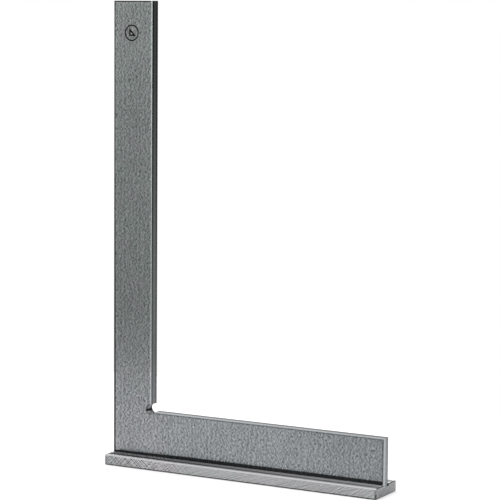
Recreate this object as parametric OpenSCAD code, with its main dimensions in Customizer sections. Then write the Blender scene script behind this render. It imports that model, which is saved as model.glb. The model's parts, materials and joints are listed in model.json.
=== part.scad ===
// Steel back square: an L-shaped blade standing in a shallow groove along a flat stop bar.
// Origin: middle of the stop bar's underside. +X runs from the long leg's side towards the end of the
// short arm, +Y is the rear face of the blade, +Z is up.

/* [Square] */
// Height over all, from the underside of the stop bar to the top of the long leg
square_h = 200; // [150:5:300]
// Length of the stop bar
square_l = 130; // [110:5:200]

/* [Blade] */
// Width of the long leg
leg_w = 19; // [16:0.5:24]
// Width of the short arm, measured above the stop bar
arm_w = 19.2; // [16:0.2:24]
// How far the short arm's end stands back from the end of the stop bar
arm_back = 0.4; // [0:0.1:1]
// Thickness of the blade
blade_t = 5; // [4:0.1:6]
// Width of the broken edges of the blade
blade_edge = 0.2; // [0.1:0.05:0.4]
// Diameter of the relief hole at the inside corner
relief_d = 4.2; // [3:0.1:5]
// How far the middle of the relief hole lies outside the long leg's inner edge, towards the leg
relief_in = 0.3; // [0:0.1:1]
// How far the middle of the relief hole lies above the short arm's upper edge
relief_up = 1.2; // [0:0.1:1.4]

/* [Stop bar] */
// Width of the stop bar
bar_w = 19; // [16:0.5:24]
// Thickness of the stop bar
bar_h = 4.6; // [4:0.1:6]
// Depth of the groove that the blade stands in
groove_depth = 1; // [0.5:0.1:1.5]
// Width of the broken edges along the stop bar
bar_edge = 0.5; // [0.1:0.05:0.6]
// Width of the broken edges round the stop bar's two ends
bar_end_edge = 0.2; // [0.1:0.05:0.6]

/* [Fasteners] */
// Nominal diameter of the countersunk screws
screw_d = 2.5; // [2, 2.5]
// Length of the countersunk screws, head included
screw_l = 10; // [9:1:12]
// Diameter of the dowel pins
dowel_d = 2.5; // [2:0.5:2.5]
// Length of the dowel pins
dowel_l = 10; // [8:1:12]
// Distance from each end of the bar to the nearest screw
end_margin = 11; // [8:1:16]
// How deep the screw heads and pins sit below the ground underside
sub_flush = 0.15; // [0.05:0.05:0.3]

/* [Mark] */
// Diameter of the etched ring round the set-square sign
mark_d = 7; // [5:0.2:8]
// Height of the mark's centre below the top of the long leg
mark_down = 13.6; // [10:0.2:20]
// Depth of the etching
mark_depth = 0.08; // [0.05:0.01:0.15]

/* [Hidden] */
$fn = 64;
eps = 0.01;

// Places along X: six stations, four for screws and two between them for dowels
half_l = square_l / 2;
station = (square_l - 2 * end_margin) / 6;
screw_x = [-3 * station, -station, station, 3 * station];
dowel_x = [-2 * station, 2 * station];

// Edges of the blade's outline
leg_inner_x = leg_w - half_l;
arm_end_x = half_l - arm_back;
arm_top_z = bar_h + arm_w;
seat_z = bar_h - groove_depth;
long_run = square_h + square_l;

// Screw: head 90 degrees, as on a standard slotted countersunk screw
screw_r = screw_d / 2;
head_r = 1.88 * screw_r;
head_rim = 0.12 * screw_d;
head_h = head_rim + head_r - screw_r;
slot_w = 0.24 * screw_d;
slot_depth = 0.28 * screw_d;
tip_chamfer = 0.4;

// Clearances, all radial
thread_gap = 0.02;
head_gap = 0.05;
shank_gap = 0.2;
dowel_gap = 0.01;
groove_gap = 0.01;
hole_beyond = 0.8;

// Fastener heights
screw_top_z = sub_flush + screw_l;
dowel_top_z = sub_flush + dowel_l;
dowel_r = dowel_d / 2;
dowel_chamfer = 0.35;

// Etched mark
mark_x = -half_l + 0.47 * leg_w;
mark_z = square_h - mark_down;
mark_line = 0.08 * mark_d;
sign_reach = 0.5 * mark_d;
sign_stroke = 0.1 * mark_d;
sign_window = sign_reach - sign_stroke * (2 + sqrt(2));
sign_corner = -0.38 * sign_reach;

steel_blade = [0.47, 0.49, 0.49];
steel_bar = [0.62, 0.63, 0.65];
steel_screw = [0.35, 0.35, 0.36];
steel_dowel = [0.55, 0.55, 0.56];

// A 45 degree cut of the given width along X, centred on the edge that it breaks
module edge_cut(run, width) {
    side = width * sqrt(2);
    rotate([45, 0, 0])
        cube([run, side, side], center = true);
}

// Breaks both face edges of one straight side of the blade: at is a point [x, z] on that side,
// and turn is 0 for a side along X and 90 for a side along Z
module blade_side_cuts(at, turn, run) {
    for (face = [-1, 1])
        translate([at[0], face * blade_t / 2, at[1]])
            rotate([0, turn, 0])
                edge_cut(run, blade_edge);
}

module blade_outline() {
    polygon([
        [-half_l, seat_z],
        [arm_end_x, seat_z],
        [arm_end_x, arm_top_z],
        [leg_inner_x, arm_top_z],
        [leg_inner_x, square_h],
        [-half_l, square_h]
    ]);
}

module right_triangle(reach) {
    polygon([[0, 0], [reach, 0], [0, reach]]);
}

// A set square in a plain ring, drawn about the mark's centre
module set_square_mark() {
    difference() {
        circle(d = mark_d);
        circle(d = mark_d - 2 * mark_line);
    }
    translate([sign_corner, sign_corner])
        difference() {
            right_triangle(sign_reach);
            translate([sign_stroke, sign_stroke])
                right_triangle(sign_window);
        }
}

// A hole straight up from height low to height high
module upright_hole(x, r, low, high) {
    translate([x, 0, low])
        cylinder(r = r, h = high - low);
}

module blade() {
    inner_leg_run = square_h - arm_top_z;
    inner_arm_run = arm_end_x - leg_inner_x;
    color(steel_blade)
        difference() {
            translate([0, blade_t / 2, 0])
                rotate([90, 0, 0])
                    linear_extrude(height = blade_t)
                        blade_outline();
            // Relief hole at the inside corner
            translate([leg_inner_x - relief_in, 0, arm_top_z + relief_up])
                rotate([90, 0, 0])
                    cylinder(d = relief_d, h = 2 * blade_t, center = true);
            // Broken edges
            blade_side_cuts([-half_l, square_h / 2], 90, long_run);
            blade_side_cuts([arm_end_x, square_h / 2], 90, long_run);
            blade_side_cuts([0, square_h], 0, long_run);
            blade_side_cuts([leg_inner_x, arm_top_z + inner_leg_run / 2 + relief_d / 2], 90, inner_leg_run);
            blade_side_cuts([leg_inner_x + inner_arm_run / 2 + relief_d / 2, arm_top_z], 0, inner_arm_run);
            // Holes in the lower edge for the screws and the dowels
            for (x = screw_x)
                upright_hole(x, screw_r + thread_gap, seat_z - eps, screw_top_z + hole_beyond);
            for (x = dowel_x)
                upright_hole(x, dowel_r + dowel_gap, seat_z - eps, dowel_top_z + hole_beyond);
            // Etched mark on the front face
            translate([mark_x, mark_depth - blade_t / 2, mark_z])
                rotate([90, 0, 0])
                    linear_extrude(height = 1)
                        set_square_mark();
        }
}

module stop_bar() {
    color(steel_bar)
        difference() {
            translate([-half_l, -bar_w / 2, 0])
                cube([square_l, bar_w, bar_h]);
            // Groove for the blade, open at both ends
            translate([0, 0, seat_z + bar_h / 2])
                cube([2 * square_l, blade_t + 2 * groove_gap, bar_h], center = true);
            // Broken edges: along the bar, across its ends and at its four uprights
            for (side = [-1, 1], z = [0, bar_h])
                translate([0, side * bar_w / 2, z])
                    edge_cut(2 * square_l, bar_edge);
            for (side = [-1, 1], z = [0, bar_h])
                translate([side * half_l, 0, z])
                    rotate([0, 0, 90])
                        edge_cut(2 * bar_w, bar_end_edge);
            for (side = [-1, 1], end = [-1, 1])
                translate([end * half_l, side * bar_w / 2, 0])
                    rotate([0, 90, 0])
                        edge_cut(4 * bar_h, bar_end_edge);
            // Countersunk clearance holes
            for (x = screw_x) {
                upright_hole(x, screw_r + shank_gap, -eps, bar_h + eps);
                upright_hole(x, head_r + head_gap, -eps, sub_flush + head_rim);
                translate([x, 0, sub_flush + head_rim])
                    cylinder(r1 = head_r + head_gap, r2 = screw_r + head_gap, h = head_r - screw_r);
            }
            for (x = dowel_x)
                upright_hole(x, dowel_r + dowel_gap, -eps, bar_h + eps);
        }
}

// A slotted countersunk screw with its head down; the thread is a plain cylinder
module screw(x) {
    color(steel_screw)
        translate([x, 0, sub_flush])
            difference() {
                union() {
                    cylinder(r = head_r, h = head_rim);
                    translate([0, 0, head_rim])
                        cylinder(r1 = head_r, r2 = screw_r, h = head_r - screw_r);
                    translate([0, 0, head_h])
                        cylinder(r = screw_r, h = screw_l - head_h - tip_chamfer);
                    translate([0, 0, screw_l - tip_chamfer])
                        cylinder(r1 = screw_r, r2 = screw_r - tip_chamfer, h = tip_chamfer);
                }
                translate([0, 0, slot_depth / 2 - eps])
                    cube([2 * head_r + 1, slot_w, slot_depth + 2 * eps], center = true);
            }
}

module screw_1() { screw(screw_x[0]); }
module screw_2() { screw(screw_x[1]); }
module screw_3() { screw(screw_x[2]); }
module screw_4() { screw(screw_x[3]); }

// A parallel pin, chamfered at both ends
module dowel_pin(x) {
    color(steel_dowel)
        translate([x, 0, sub_flush]) {
            cylinder(r1 = dowel_r - dowel_chamfer, r2 = dowel_r, h = dowel_chamfer);
            translate([0, 0, dowel_chamfer])
                cylinder(r = dowel_r, h = dowel_l - 2 * dowel_chamfer);
            translate([0, 0, dowel_l - dowel_chamfer])
                cylinder(r1 = dowel_r, r2 = dowel_r - dowel_chamfer, h = dowel_chamfer);
        }
}

module dowel_pin_1() { dowel_pin(dowel_x[0]); }
module dowel_pin_2() { dowel_pin(dowel_x[1]); }

blade();
stop_bar();
screw_1();
screw_2();
screw_3();
screw_4();
dowel_pin_1();
dowel_pin_2();
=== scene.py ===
"""Looks for the steel back square: ground-steel materials, a white studio table and the camera."""
import json
import math

import bpy
from mathutils import Matrix, Vector


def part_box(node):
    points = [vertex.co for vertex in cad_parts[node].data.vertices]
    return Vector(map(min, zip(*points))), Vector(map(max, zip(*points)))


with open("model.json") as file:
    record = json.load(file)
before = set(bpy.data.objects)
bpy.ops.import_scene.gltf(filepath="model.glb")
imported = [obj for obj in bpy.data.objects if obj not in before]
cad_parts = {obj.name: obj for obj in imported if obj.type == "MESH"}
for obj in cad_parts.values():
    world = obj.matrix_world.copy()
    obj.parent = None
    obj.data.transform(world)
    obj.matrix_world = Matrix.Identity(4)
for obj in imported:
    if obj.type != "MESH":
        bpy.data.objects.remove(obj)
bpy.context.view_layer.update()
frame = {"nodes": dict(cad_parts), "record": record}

MM = 0.001

# --- sizes read from the frame, in millimetres ---------------------------------------------------
BLADE_LOW, BLADE_HIGH = (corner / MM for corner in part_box("blade"))
BAR_LOW, BAR_HIGH = (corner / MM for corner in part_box("stop_bar"))


def mount_mm(name):
    """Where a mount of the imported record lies, in millimetres."""
    for mount in frame["record"]["mounts"]:
        if mount["name"] == name:
            return Vector(mount["pos_m"]) / MM
    raise KeyError(name)


LEG_INNER_X = mount_mm("inner_leg_edge").x
ARM_TOP_Z = mount_mm("inner_arm_edge").z

# --- camera --------------------------------------------------------------------------------------
# Angles in degrees, places and distance in metres, lens and sensor in millimetres
CAMERA_AZIMUTH = 28.85
CAMERA_ELEVATION = 6.385
CAMERA_ROLL = 0.477
CAMERA_DISTANCE = 0.8556
CAMERA_TARGET = Vector((1.97, -2.2, 97.11)) * MM
CAMERA_LENS = 148.0
SENSOR = 36
CLIP_NEAR = 0.05
CLIP_FAR = 30


def make_camera():
    """A long lens in front of the square, to the right of it and just below its top."""
    azimuth = math.radians(CAMERA_AZIMUTH)
    elevation = math.radians(CAMERA_ELEVATION)
    back = Vector((
        math.sin(azimuth) * math.cos(elevation),
        -math.cos(azimuth) * math.cos(elevation),
        math.sin(elevation),
    ))
    data = bpy.data.cameras.new("camera")
    data.sensor_width = SENSOR
    data.lens = CAMERA_LENS
    data.clip_start = CLIP_NEAR
    data.clip_end = CLIP_FAR
    camera = bpy.data.objects.new("camera", data)
    turn = (-back).to_track_quat("-Z", "Y").to_matrix().to_4x4()
    roll = Matrix.Rotation(math.radians(CAMERA_ROLL), 4, "Z")
    camera.matrix_world = Matrix.Translation(CAMERA_TARGET + back * CAMERA_DISTANCE) @ turn @ roll
    bpy.context.scene.collection.objects.link(camera)
    bpy.context.scene.camera = camera


# --- node helpers --------------------------------------------------------------------------------
class Nodes:
    """Short ways to build the nodes of one material or world."""

    def __init__(self, owner):
        owner.use_nodes = True
        self.tree = owner.node_tree
        self.tree.nodes.clear()

    def add(self, kind, **settings):
        made = self.tree.nodes.new(kind)
        for name, value in settings.items():
            setattr(made, name, value)
        return made

    def put(self, socket, value):
        """Sets a socket to a number or colour, or links an output to it."""
        if isinstance(value, bpy.types.NodeSocket):
            self.tree.links.new(value, socket)
        elif value is not None:
            socket.default_value = value

    def math(self, operation, *values):
        """One math node, or a chain of them where there are more than two values."""
        made = self.add("ShaderNodeMath", operation=operation)
        for socket, value in zip(made.inputs, values[:2]):
            self.put(socket, value)
        if len(values) > 2:
            return self.math(operation, made.outputs[0], *values[2:])
        return made.outputs[0]

    def near(self, value, target, reach):
        """1 where the value is within reach of the target, else 0."""
        return self.math("LESS_THAN", self.math("ABSOLUTE", self.math("SUBTRACT", value, target)), reach)

    def vector(self, operation, a, b):
        made = self.add("ShaderNodeVectorMath", operation=operation)
        self.put(made.inputs[0], a)
        self.put(made.inputs[1], b)
        return made.outputs["Vector"]

    def place_mm(self):
        """The point on the object, in millimetres in the row frame."""
        made = self.add("ShaderNodeTexCoord")
        return self.vector("MULTIPLY", made.outputs["Object"], (1 / MM, 1 / MM, 1 / MM))

    def split(self, vector):
        made = self.add("ShaderNodeSeparateXYZ")
        self.put(made.inputs[0], vector)
        return made.outputs[:]

    def facing(self):
        """How squarely the surface faces along X, Y and Z, each from 0 to 1."""
        made = self.add("ShaderNodeTexCoord")
        return [self.math("ABSOLUTE", part) for part in self.split(made.outputs["Normal"])]

    def squarely(self, facing):
        """1 where the surface faces squarely along an axis, else 0."""
        return self.ramp(facing, 0.8, 0.9)

    def on_chamfer(self, *facings):
        """1 on the slanting broken edges, 0 on the faces that lie square to an axis."""
        return self.ramp(self.math("MAXIMUM", *facings), 0.8, 0.95, 1.0, 0.0)

    def noise(self, vector, scale=1.0, detail=2.0, rough=0.5, distortion=0.0):
        """Noise on a place, or along a single number."""
        made = self.add("ShaderNodeTexNoise")
        if vector.type == "VECTOR":
            self.put(made.inputs["Vector"], vector)
        else:
            made.noise_dimensions = "1D"
            self.put(made.inputs["W"], vector)
        made.inputs["Scale"].default_value = scale
        made.inputs["Detail"].default_value = detail
        made.inputs["Roughness"].default_value = rough
        made.inputs["Distortion"].default_value = distortion
        return made.outputs[0]

    def ramp(self, value, low, high, to_low=0.0, to_high=1.0, smooth=True):
        kind = "SMOOTHSTEP" if smooth else "LINEAR"
        made = self.add("ShaderNodeMapRange", interpolation_type=kind)
        settings = {"Value": value, "From Min": low, "From Max": high, "To Min": to_low, "To Max": to_high}
        for name, setting in settings.items():
            self.put(made.inputs[name], setting)
        return made.outputs[0]

    def spread(self, value, low, high):
        """Maps the middle of a noise's range straight onto low to high."""
        return self.ramp(value, 0.3, 0.7, low, high, smooth=False)

    def mix(self, share, a, b):
        """A number between a and b."""
        made = self.add("ShaderNodeMix", data_type="FLOAT")
        for socket, value in zip(made.inputs[0:1] + made.inputs[2:4], (share, a, b)):
            self.put(socket, value)
        return made.outputs[0]

    def blend(self, share, a, b):
        """A colour between a and b."""
        made = self.add("ShaderNodeMix", data_type="RGBA")
        for socket, value in zip((made.inputs[0], made.inputs[6], made.inputs[7]), (share, a, b)):
            self.put(socket, value)
        return made.outputs[2]

    def tinted(self, value, tint):
        """A colour from one brightness, with a fixed tint or a tint from another node."""
        made = self.add("ShaderNodeVectorMath", operation="SCALE")
        self.put(made.inputs[0], tint)
        self.put(made.inputs["Scale"], value)
        return made.outputs[0]

    def bump(self, height, distance, strength=1.0):
        """A normal tilted by a height, whose full range is a distance in metres."""
        made = self.add("ShaderNodeBump")
        made.inputs["Strength"].default_value = strength
        made.inputs["Distance"].default_value = distance
        self.put(made.inputs["Height"], height)
        return made.outputs[0]

    def finish(self, **sockets):
        """Makes the material's surface from a Principled shader with these sockets."""
        shader = self.add("ShaderNodeBsdfPrincipled")
        for name, value in sockets.items():
            self.put(shader.inputs[name.replace("_", " ")], value)
        output = self.add("ShaderNodeOutputMaterial")
        self.tree.links.new(shader.outputs[0], output.inputs[0])


# --- blade ---------------------------------------------------------------------------------------
# Tones of the large faces and of the narrow sides, before their shading
FACE_TONE = 0.245
SIDE_TONE = 0.25
# Tones of the broken edges, painted light and shade: dark in general, a highlight at the leg's inner edge and
# lighter at the arm's upper front edge
CHAMFER_TONE = 0.06
LEG_EDGE_HIGHLIGHT = 0.5
ARM_EDGE_TONE = 0.22
# The painted shade in the corner where the blade's foot meets the bar: its height above the bar at the
# leg's outer edge, and its height from FOOT_RUN further along
FOOT_LOW = 0.96
FOOT_HIGH = 1.6
FOOT_RUN = 45
FOOT_SHADE_TONE = 0.14
# The relief hole at the inside corner
RELIEF_R = 2.1
RELIEF_X = LEG_INNER_X - 0.3
RELIEF_Z = ARM_TOP_Z + 1.2
# Small pits, which the front and the rear share: place along X, height and radius
PITS = [(-61.1, 55.8, 0.35), (-47.3, 57.3, 0.3), (-11.2, 7.1, 0.4)]
PIT_DARKNESS = 0.8
# Strands of the grain: how close they lie, and how fast they wander
STRANDS = [(4.2, 0.3), (3.3, 0.25), (2.6, 0.35)]
# How far the strands sway, in radians of their own wave
STRAND_SWAY = 16
# Contrast of the strands, and of the fine grain between them
STRAND_CONTRAST = 0.14
FINE_CONTRAST = 0.7
# Tints of the two kinds of patches, low down and high up, and the tint of the arm with its share
COOL_LOW = (0.96, 1.003, 1.035, 1)
COOL_HIGH = (0.925, 1.03, 1.0, 1)
WARM_LOW = (0.98, 0.99, 1.045, 1)
WARM_HIGH = (0.955, 1.01, 1.005, 1)
ARM_TINT = (0.933, 1.006, 1.046, 1)
ARM_TINT_SHARE = 0.7


def distance(n, x, z, at_x, at_z):
    """Distance in the blade's plane from one place."""
    across = n.math("POWER", n.math("SUBTRACT", x, at_x), 2.0)
    up = n.math("POWER", n.math("SUBTRACT", z, at_z), 2.0)
    return n.math("SQRT", n.math("ADD", across, up))


def face_rim_shading(n, x, z):
    """Painted shade and painted highlights on the blade's face beside its edges.

    The outer edges have painted shade in a dark line, wider low down, then a faint painted highlight. The
    arm's end, the arm's upper edge and the relief hole have a painted dark rim, and the leg's inner edge a
    painted light one.
    """
    left = n.math("MULTIPLY", n.math("SUBTRACT", x, BLADE_LOW.x), n.ramp(z, 20, 190, 0.7, 1.0))
    top = n.math("MULTIPLY", n.math("SUBTRACT", BLADE_HIGH.z, z), 1.25)
    outer = n.math("MINIMUM", left, top)
    end = n.math("SUBTRACT", BLADE_HIGH.x, x)
    inner = n.math("MAXIMUM", n.math("SUBTRACT", LEG_INNER_X, x), n.math("SUBTRACT", ARM_TOP_Z, z))
    inner_rim_shading = n.mix(n.math("GREATER_THAN", z, ARM_TOP_Z), 0.55, 1.3)
    from_hole = distance(n, x, z, RELIEF_X, RELIEF_Z)
    return n.math(
        "MULTIPLY",
        n.ramp(outer, 0.6, 0.85, 0.15, 1.0),
        n.ramp(outer, 1.0, 1.8, 1.15, 1.0),
        n.ramp(end, 0.5, 0.8, 0.85, 1.0),
        n.ramp(inner, 0.5, 0.8, inner_rim_shading, 1.0),
        n.ramp(from_hole, RELIEF_R + 0.1, RELIEF_R + 0.35, 0.5, 1.0),
    )


def hole_shade(n, x, z):
    """Painted shade in the relief hole, darkest low down beside the leg, and a painted glint beyond; 1
    elsewhere.
    """
    on_wall = n.math("LESS_THAN", distance(n, x, z, RELIEF_X, RELIEF_Z), RELIEF_R + 0.05)
    low = n.ramp(z, RELIEF_Z - 0.6, RELIEF_Z, 0.15, 1.0)
    beside_leg = n.mix(n.ramp(x, RELIEF_X - 0.8, RELIEF_X), low, 1.3)
    return n.mix(on_wall, 1.0, beside_leg)


def pit_tone(n, x, z):
    """Tone of the small pits, dark in the middle of each; 1 elsewhere."""
    shares = []
    for pit_x, pit_z, radius in PITS:
        shares.append(n.ramp(distance(n, x, z, pit_x, pit_z), 0.5 * radius, radius, 1.0, 0.0))
    darkest = n.math("MAXIMUM", *shares)
    return n.math("SUBTRACT", 1.0, n.math("MULTIPLY", darkest, PIT_DARKNESS))


def foot_shade(n, x, z, fine):
    """Painted shade in the corner where the blade meets the bar, dark up to a ragged line; 1 above it."""
    ragged = n.math("ADD", z, n.spread(fine, -0.12, 0.12))
    band_top = n.ramp(x, BLADE_LOW.x, BLADE_LOW.x + FOOT_RUN, BAR_HIGH.z + FOOT_LOW, BAR_HIGH.z + FOOT_HIGH)
    return n.ramp(n.math("SUBTRACT", ragged, band_top), -0.2, 0.2, FOOT_SHADE_TONE, 1.0)


def strands(n, across, place, closeness, wander):
    """Upright strands that wander and run into each other, from -1 to 1."""
    phase = n.math("MULTIPLY", n.noise(place, wander, 1.0), STRAND_SWAY)
    return n.math("SINE", n.math("ADD", n.math("MULTIPLY", across, closeness), phase))


def face_grain(n, place, across, fine):
    """Short upright grain of the large faces, around 1."""
    drift = n.vector("MULTIPLY", place, (1.0, 1.0, 1.8))
    strand = n.math("ADD", *(strands(n, across, drift, close, wander) for close, wander in STRANDS))
    cloud = n.noise(place, 0.06, 2.0)
    grain = n.math(
        "ADD",
        n.spread(fine, -FINE_CONTRAST, FINE_CONTRAST),
        n.math("MULTIPLY", strand, STRAND_CONTRAST),
        n.spread(cloud, -0.05, 0.05),
    )
    return n.math("MAXIMUM", n.math("ADD", 1.0, grain), 0.1)


def face_value(n, place, x, y, z, fine):
    """Brightness of the two large faces, with painted light and shade."""
    # Painted light and shade: a little darker low down, lighter near the top of the leg, and darker along the
    # arm towards its end
    leg_height_shading = n.math("MULTIPLY", n.ramp(z, 24, 60, 0.94, 1.0), n.ramp(z, 150, 198, 1.0, 1.08))
    arm_start_shading = n.ramp(x, LEG_INNER_X, 0.0, 1.0, 0.98)
    arm_end_shading = n.ramp(x, 10, BLADE_HIGH.x, 1.0, 0.87)
    return n.math(
        "MULTIPLY",
        face_grain(n, place, n.math("ADD", x, y), fine),
        FACE_TONE,
        face_rim_shading(n, x, z),
        leg_height_shading,
        arm_start_shading,
        arm_end_shading,
        foot_shade(n, x, z, fine),
        pit_tone(n, x, z),
    )


def side_value(n, x, y, z, upright, fine):
    """Brightness of the narrow sides; upright is 1 on the leg's sides and the arm's end, else 0."""
    from_middle = n.math("ABSOLUTE", y)
    # Painted light and shade: the leg's sides are dark along both edges, more so high up, and lightest half
    # way up
    leg_edge = n.ramp(z, ARM_TOP_Z, BLADE_HIGH.z, 0.6, 0.22)
    leg_height_shading = n.math("MULTIPLY", n.ramp(z, 25, 80, 0.5, 1.12), n.ramp(z, 130, 190, 1.0, 0.82))
    leg_side = n.math("MULTIPLY", n.ramp(from_middle, 0.5, 1.5, 1.2, leg_edge), leg_height_shading)
    # Painted light and shade: the arm's end and the upper sides are light towards the front and dark towards
    # the rear
    end_side_shading = n.math("MULTIPLY", n.ramp(from_middle, 1.4, 2.2, 1.0, 0.5), n.ramp(y, -1.2, 0.6, 1.4, 0.65))
    top_side_shading = n.ramp(y, -1.5, 1.2, 1.9, 0.2)
    on_end = n.math("GREATER_THAN", x, BLADE_HIGH.x - 2.0)
    side = n.mix(upright, top_side_shading, n.mix(on_end, leg_side, end_side_shading))
    speckle = n.math("ADD", 1.0, n.spread(fine, -0.25, 0.25))
    return n.math("MULTIPLY", side, SIDE_TONE, speckle, hole_shade(n, x, z))


def chamfer_value(n, place, x, y, z):
    """Brightness of the broken edges: painted shade, with painted highlights inside the angle."""
    at_leg_edge = n.near(x, LEG_INNER_X, 0.5)
    at_arm_edge = n.math("MULTIPLY", n.near(z, ARM_TOP_Z, 0.5), n.math("LESS_THAN", y, 0.0))
    edge_shading = n.mix(at_leg_edge, n.mix(at_arm_edge, CHAMFER_TONE, ARM_EDGE_TONE), LEG_EDGE_HIGHLIGHT)
    patches = n.noise(n.vector("MULTIPLY", place, (0.9, 0.9, 0.4)), detail=2.0)
    return n.math("ADD", edge_shading, n.spread(patches, -0.04, 0.04))


def blade_hue(n, place, x, z):
    """Tint in soft patches: greenish up the leg, bluish low down, and cooler along the arm."""
    upper = n.ramp(z, 0.5 * ARM_TOP_Z, 3 * ARM_TOP_Z)
    cool = n.blend(upper, COOL_LOW, COOL_HIGH)
    warm = n.blend(upper, WARM_LOW, WARM_HIGH)
    hue = n.blend(n.ramp(n.noise(place, 0.25, 2.0), 0.42, 0.6), cool, warm)
    along_arm = n.ramp(x, LEG_INNER_X, LEG_INNER_X + 10, 0.0, ARM_TINT_SHARE)
    return n.blend(along_arm, hue, ARM_TINT)


def blade_steel():
    """Satin-ground steel with short upright grain."""
    material = bpy.data.materials.new("blade_steel")
    n = Nodes(material)
    place = n.place_mm()
    x, y, z = n.split(place)
    facing_x, facing_y, facing_z = n.facing()
    fine = n.noise(n.vector("MULTIPLY", place, (4.8, 4.8, 1.0)), detail=2.0, rough=0.6, distortion=0.1)
    sides = side_value(n, x, y, z, n.squarely(facing_x), fine)
    flat = n.mix(n.squarely(facing_y), sides, face_value(n, place, x, y, z, fine))
    on_chamfer = n.on_chamfer(facing_x, facing_y, facing_z)
    value = n.mix(on_chamfer, flat, chamfer_value(n, place, x, y, z))
    n.finish(
        Base_Color=n.tinted(value, blade_hue(n, place, x, z)),
        Metallic=1.0,
        Roughness=n.spread(fine, 0.34, 0.2),
        Normal=n.bump(fine, 0.03 * MM, 0.5),
    )
    return material


# --- stop bar ------------------------------------------------------------------------------------
# Radius of the grinding wheel, and the contrast and the darkest tone of its marks
WHEEL_R = 60
MARK_CONTRAST = 1.5
MARK_DARKEST = 0.02
# Tones of the broken edges, painted light and shade: dark in general, and a highlight along the two long
# upper edges
BAR_CHAMFER_TONE = 0.06
BAR_UPPER_EDGE_HIGHLIGHT = 0.35
# Tints of the two kinds of patches
BAR_COOL = (0.98, 1.005, 1.015, 1)
BAR_WARM = (1.01, 0.99, 1.02, 1)


def arc_marks(n, along, across, wheel_drop, density, side="ADD"):
    """One family of grinding arcs, from a cup wheel whose axis lay wheel_drop below across = 0."""
    rise = n.math("ADD", across, wheel_drop)
    reach = n.math("SQRT", n.math("SUBTRACT", WHEEL_R ** 2, n.math("POWER", rise, 2.0)))
    return n.spread(n.noise(n.math(side, along, reach), density, 2.0, 0.7), -0.5, 0.5)


def grinding_marks(n, x, along, across):
    """Steep arcs cross near the left end, flat ones run all along, and steep ones join them at the right."""
    first_end = n.ramp(x, BAR_LOW.x + 15, BAR_LOW.x + 55, 1.0, 0.1)
    last_end = n.ramp(x, BAR_HIGH.x - 45, BAR_HIGH.x - 10, 0.0, 0.6)
    return n.math(
        "ADD",
        n.math("MULTIPLY", arc_marks(n, along, across, 40, 1.5), first_end),
        n.math("MULTIPLY", arc_marks(n, along, across, 42, 1.3, "SUBTRACT"), first_end, 0.9),
        n.math("MULTIPLY", arc_marks(n, along, across, 55, 0.8), 0.5),
        n.math("MULTIPLY", arc_marks(n, along, across, 47, 1.1), last_end),
    )


def front_tone(n, x):
    """Tone of the bar's long sides and underside, painted light and shade: dark beside the ends, lightest in
    the middle.
    """
    from_end = n.math("SUBTRACT", BAR_HIGH.x, n.math("ABSOLUTE", x))
    return n.math(
        "MULTIPLY",
        n.ramp(from_end, 0.5, 0.8, 0.09, 0.32),
        n.ramp(x, BAR_LOW.x, BAR_LOW.x + 30, 0.84, 1.04),
        n.ramp(x, 15, 45, 1.0, 0.93),
    )


def end_tone(n, y, z):
    """Tone of the bar's ends, painted light and shade: dark beside the sides and the upper edge, then a light
    line.
    """
    from_side = n.math("SUBTRACT", BAR_HIGH.y, n.math("ABSOLUTE", y))
    from_top = n.math("MULTIPLY", n.math("SUBTRACT", BAR_HIGH.z, z), 1.6)
    inside = n.math("MINIMUM", from_side, from_top)
    return n.math("MULTIPLY", n.ramp(inside, 0.6, 0.9, 0.08, 0.26), n.ramp(inside, 1.2, 2.0, 1.0, 0.75))


def ledge_reflection(n, x, y):
    """Tone of the bar's upper face, a painted reflection: a dark line, fading to the right, runs along the
    middle of each ledge.
    """
    from_blade = n.math("SUBTRACT", n.math("ABSOLUTE", y), BLADE_HIGH.y)
    along = n.ramp(x, BAR_LOW.x, BAR_HIGH.x)
    light = n.mix(along, 0.26, 0.6)
    dark = n.mix(along, 0.03, 0.22)
    inner = n.ramp(from_blade, 2.6, 3.6, light, dark)
    return n.ramp(from_blade, 4.8, 5.6, inner, 0.5)


def bar_steel():
    """Surface-ground steel with crossing arc marks."""
    material = bpy.data.materials.new("bar_steel")
    n = Nodes(material)
    place = n.place_mm()
    x, y, z = n.split(place)
    facing_x, facing_y, facing_z = n.facing()
    on_end = n.squarely(facing_x)
    on_flat = n.squarely(facing_z)
    upper = n.math("GREATER_THAN", z, 0.5 * BAR_HIGH.z)
    on_ledge = n.math("MULTIPLY", on_flat, upper)
    marks = grinding_marks(n, x, n.mix(on_end, x, y), n.mix(on_flat, z, y))
    fine = n.noise(n.vector("MULTIPLY", place, (2.4, 2.4, 2.4)), detail=3.0, rough=0.6)

    tone = n.mix(on_end, front_tone(n, x), end_tone(n, y, z))
    tone = n.mix(on_ledge, tone, ledge_reflection(n, x, y))
    speck = n.math("MULTIPLY", n.spread(fine, -1.0, 1.0), n.mix(on_end, 0.25, 0.6))
    ground = n.math("MULTIPLY", tone, n.math("ADD", 1.0, n.math("MULTIPLY", marks, MARK_CONTRAST), speck))
    # Painted highlight along the long upper edges, painted shade on the other broken edges
    long_upper = n.math("MULTIPLY", upper, n.ramp(facing_y, 0.5, 0.6))
    edge = n.mix(long_upper, BAR_CHAMFER_TONE, BAR_UPPER_EDGE_HIGHLIGHT)
    on_chamfer = n.on_chamfer(facing_x, facing_y, facing_z)
    value = n.mix(on_chamfer, n.math("MAXIMUM", ground, MARK_DARKEST), edge)
    hue = n.blend(n.ramp(n.noise(place, 0.12, 2.0), 0.4, 0.6), BAR_COOL, BAR_WARM)
    n.finish(
        Base_Color=n.tinted(value, hue),
        Metallic=1.0,
        Roughness=n.mix(on_ledge, n.spread(fine, 0.36, 0.26), 0.6),
        Normal=n.bump(n.math("ADD", marks, fine), 0.03 * MM, 0.4),
    )
    return material


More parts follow.
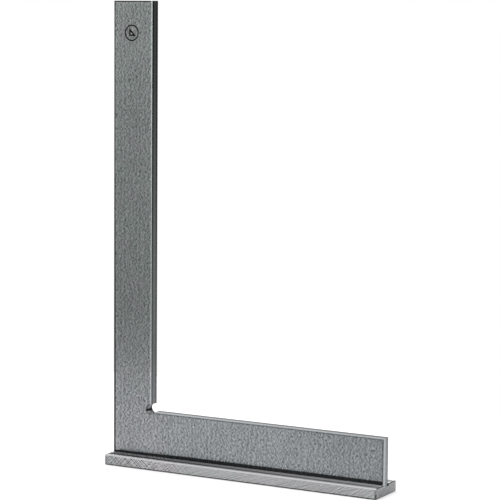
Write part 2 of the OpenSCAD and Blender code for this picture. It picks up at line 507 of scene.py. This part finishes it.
# --- fasteners and the etched sign ---------------------------------------------------------------
def plain_steel(name, low, high, roughness):
    """Turned or drawn steel for the fasteners, between a low and a high brightness."""
    material = bpy.data.materials.new(name)
    n = Nodes(material)
    place = n.place_mm()
    rings = n.noise(n.vector("MULTIPLY", place, (3.0, 3.0, 9.0)))
    n.finish(
        Base_Color=n.tinted(n.spread(rings, low, high), (1.0, 0.99, 0.97)),
        Metallic=1.0,
        Roughness=n.spread(rings, roughness + 0.08, roughness - 0.08),
        Normal=n.bump(rings, 0.02 * MM, 0.4),
    )
    return material


def etched_black():
    """The dark, matt surface that etching leaves."""
    material = bpy.data.materials.new("etched_black")
    n = Nodes(material)
    speck = n.noise(n.place_mm(), 3.0, 2.0, 0.6)
    n.finish(
        Base_Color=n.tinted(n.spread(speck, 0.002, 0.008), (1.0, 1.0, 1.0)),
        Roughness=0.85,
        Specular_IOR_Level=0.1,
        Normal=n.bump(speck, 0.02 * MM, 0.3),
    )
    return material


# The etched floor lies between these depths behind the front face, and above this height
ETCH_NEAR = 0.02
ETCH_FAR = 0.5
SIGN_ABOVE = 150


def blacken_sign(mesh):
    """Gives the floor of the etched sign the black material."""
    mesh.materials.append(etched_black())
    black = len(mesh.materials) - 1
    near = (BLADE_LOW.y + ETCH_NEAR) * MM
    far = (BLADE_LOW.y + ETCH_FAR) * MM
    for face in mesh.polygons:
        in_sign = near < face.center.y < far and face.center.z > SIGN_ABOVE * MM
        if in_sign and all(mesh.vertices[i].co.y > near for i in face.vertices):
            face.material_index = black


def paint_nodes():
    """Gives each CAD node its steel, by the start of its name, and the etched sign its black floor."""
    steels = {
        "blade": blade_steel(),
        "stop_bar": bar_steel(),
        "screw": plain_steel("screw_steel", low=0.1, high=0.22, roughness=0.38),
        "dowel": plain_steel("dowel_steel", low=0.2, high=0.34, roughness=0.3),
    }
    for name, node in frame["nodes"].items():
        kind = next(kind for kind in steels if name.startswith(kind))
        node.data.materials.clear()
        node.data.materials.append(steels[kind])
    blacken_sign(frame["nodes"]["blade"].data)


# --- studio --------------------------------------------------------------------------------------
# Half of the table's side, in metres
TABLE_HALF = 0.19
# The table lies this far below the object, so that the two surfaces don't share a plane
TABLE_GAP = 0.02 * MM
# Where the studio is dark in reflections: behind the square, to the right
DARK_SIDE = Vector((0.488, 0.873, 0.0))
# Levels of the studio in reflections: all round, on the dark side, below and above
ROUND_LEVEL = 0.93
DARK_LEVEL = 0.06
BELOW_LEVEL = 0.5
ABOVE_LEVEL = 1.7


def make_table():
    """A plain white table."""
    material = bpy.data.materials.new("white_table")
    n = Nodes(material)
    fleck = n.noise(n.place_mm(), 0.02)
    n.finish(Base_Color=n.tinted(n.spread(fleck, 0.87, 0.89), (1.0, 1.0, 1.0)), Roughness=0.8)
    mesh = bpy.data.meshes.new("table_top")
    corners = [(-1, -1), (1, -1), (1, 1), (-1, 1)]
    mesh.from_pydata([(x * TABLE_HALF, y * TABLE_HALF, 0) for x, y in corners], [], [(0, 1, 2, 3)])
    mesh.materials.append(material)
    table = bpy.data.objects.new("table_top", mesh)
    table.location.z = -TABLE_GAP
    bpy.context.scene.collection.objects.link(table)


def make_world():
    """White for the camera; in reflections a soft studio, bright above and dark on one side."""
    world = bpy.data.worlds.new("studio")
    bpy.context.scene.world = world
    n = Nodes(world)
    coord = n.add("ShaderNodeTexCoord")
    direction = coord.outputs["Generated"]
    z = n.split(direction)[2]
    dot = n.add("ShaderNodeVectorMath", operation="DOT_PRODUCT")
    n.put(dot.inputs[0], direction)
    dot.inputs[1].default_value = DARK_SIDE
    horizon = n.ramp(dot.outputs["Value"], 0.2, 0.95, ROUND_LEVEL, DARK_LEVEL)
    low = n.mix(n.ramp(z, -0.18, 0.0), BELOW_LEVEL, horizon)
    level = n.mix(n.ramp(z, 0.08, 0.75), low, ABOVE_LEVEL)
    seen = n.add("ShaderNodeLightPath").outputs["Is Camera Ray"]
    background = n.add("ShaderNodeBackground")
    background.inputs["Color"].default_value = (1, 1, 1, 1)
    n.put(background.inputs["Strength"], n.mix(seen, level, 1.0))
    output = n.add("ShaderNodeOutputWorld")
    n.tree.links.new(background.outputs[0], output.inputs[0])


def area_light(name, place, aim, size, power):
    """A rectangular light, with its power in watts, that the camera doesn't see."""
    data = bpy.data.lights.new(name, "AREA")
    data.shape = "RECTANGLE"
    data.size, data.size_y = size
    data.energy = power
    light = bpy.data.objects.new(name, data)
    light.location = place
    light.rotation_mode = "QUATERNION"
    light.rotation_quaternion = (Vector(aim) - Vector(place)).to_track_quat("-Z", "Y")
    light.visible_camera = False
    bpy.context.scene.collection.objects.link(light)


def make_lights():
    """A wide soft light overhead, and a smaller one from the right, in front."""
    area_light("overhead", place=(0, 0, 1.5), aim=(0, 0, 0), size=(1.6, 1.6), power=1)
    area_light("right_front", place=(1.3, -0.75, 0.35), aim=(0, 0, 0.08), size=(0.5, 0.5), power=1)


make_camera()
paint_nodes()
make_table()
make_world()
make_lights()
bpy.context.scene.view_settings.view_transform = "Standard"
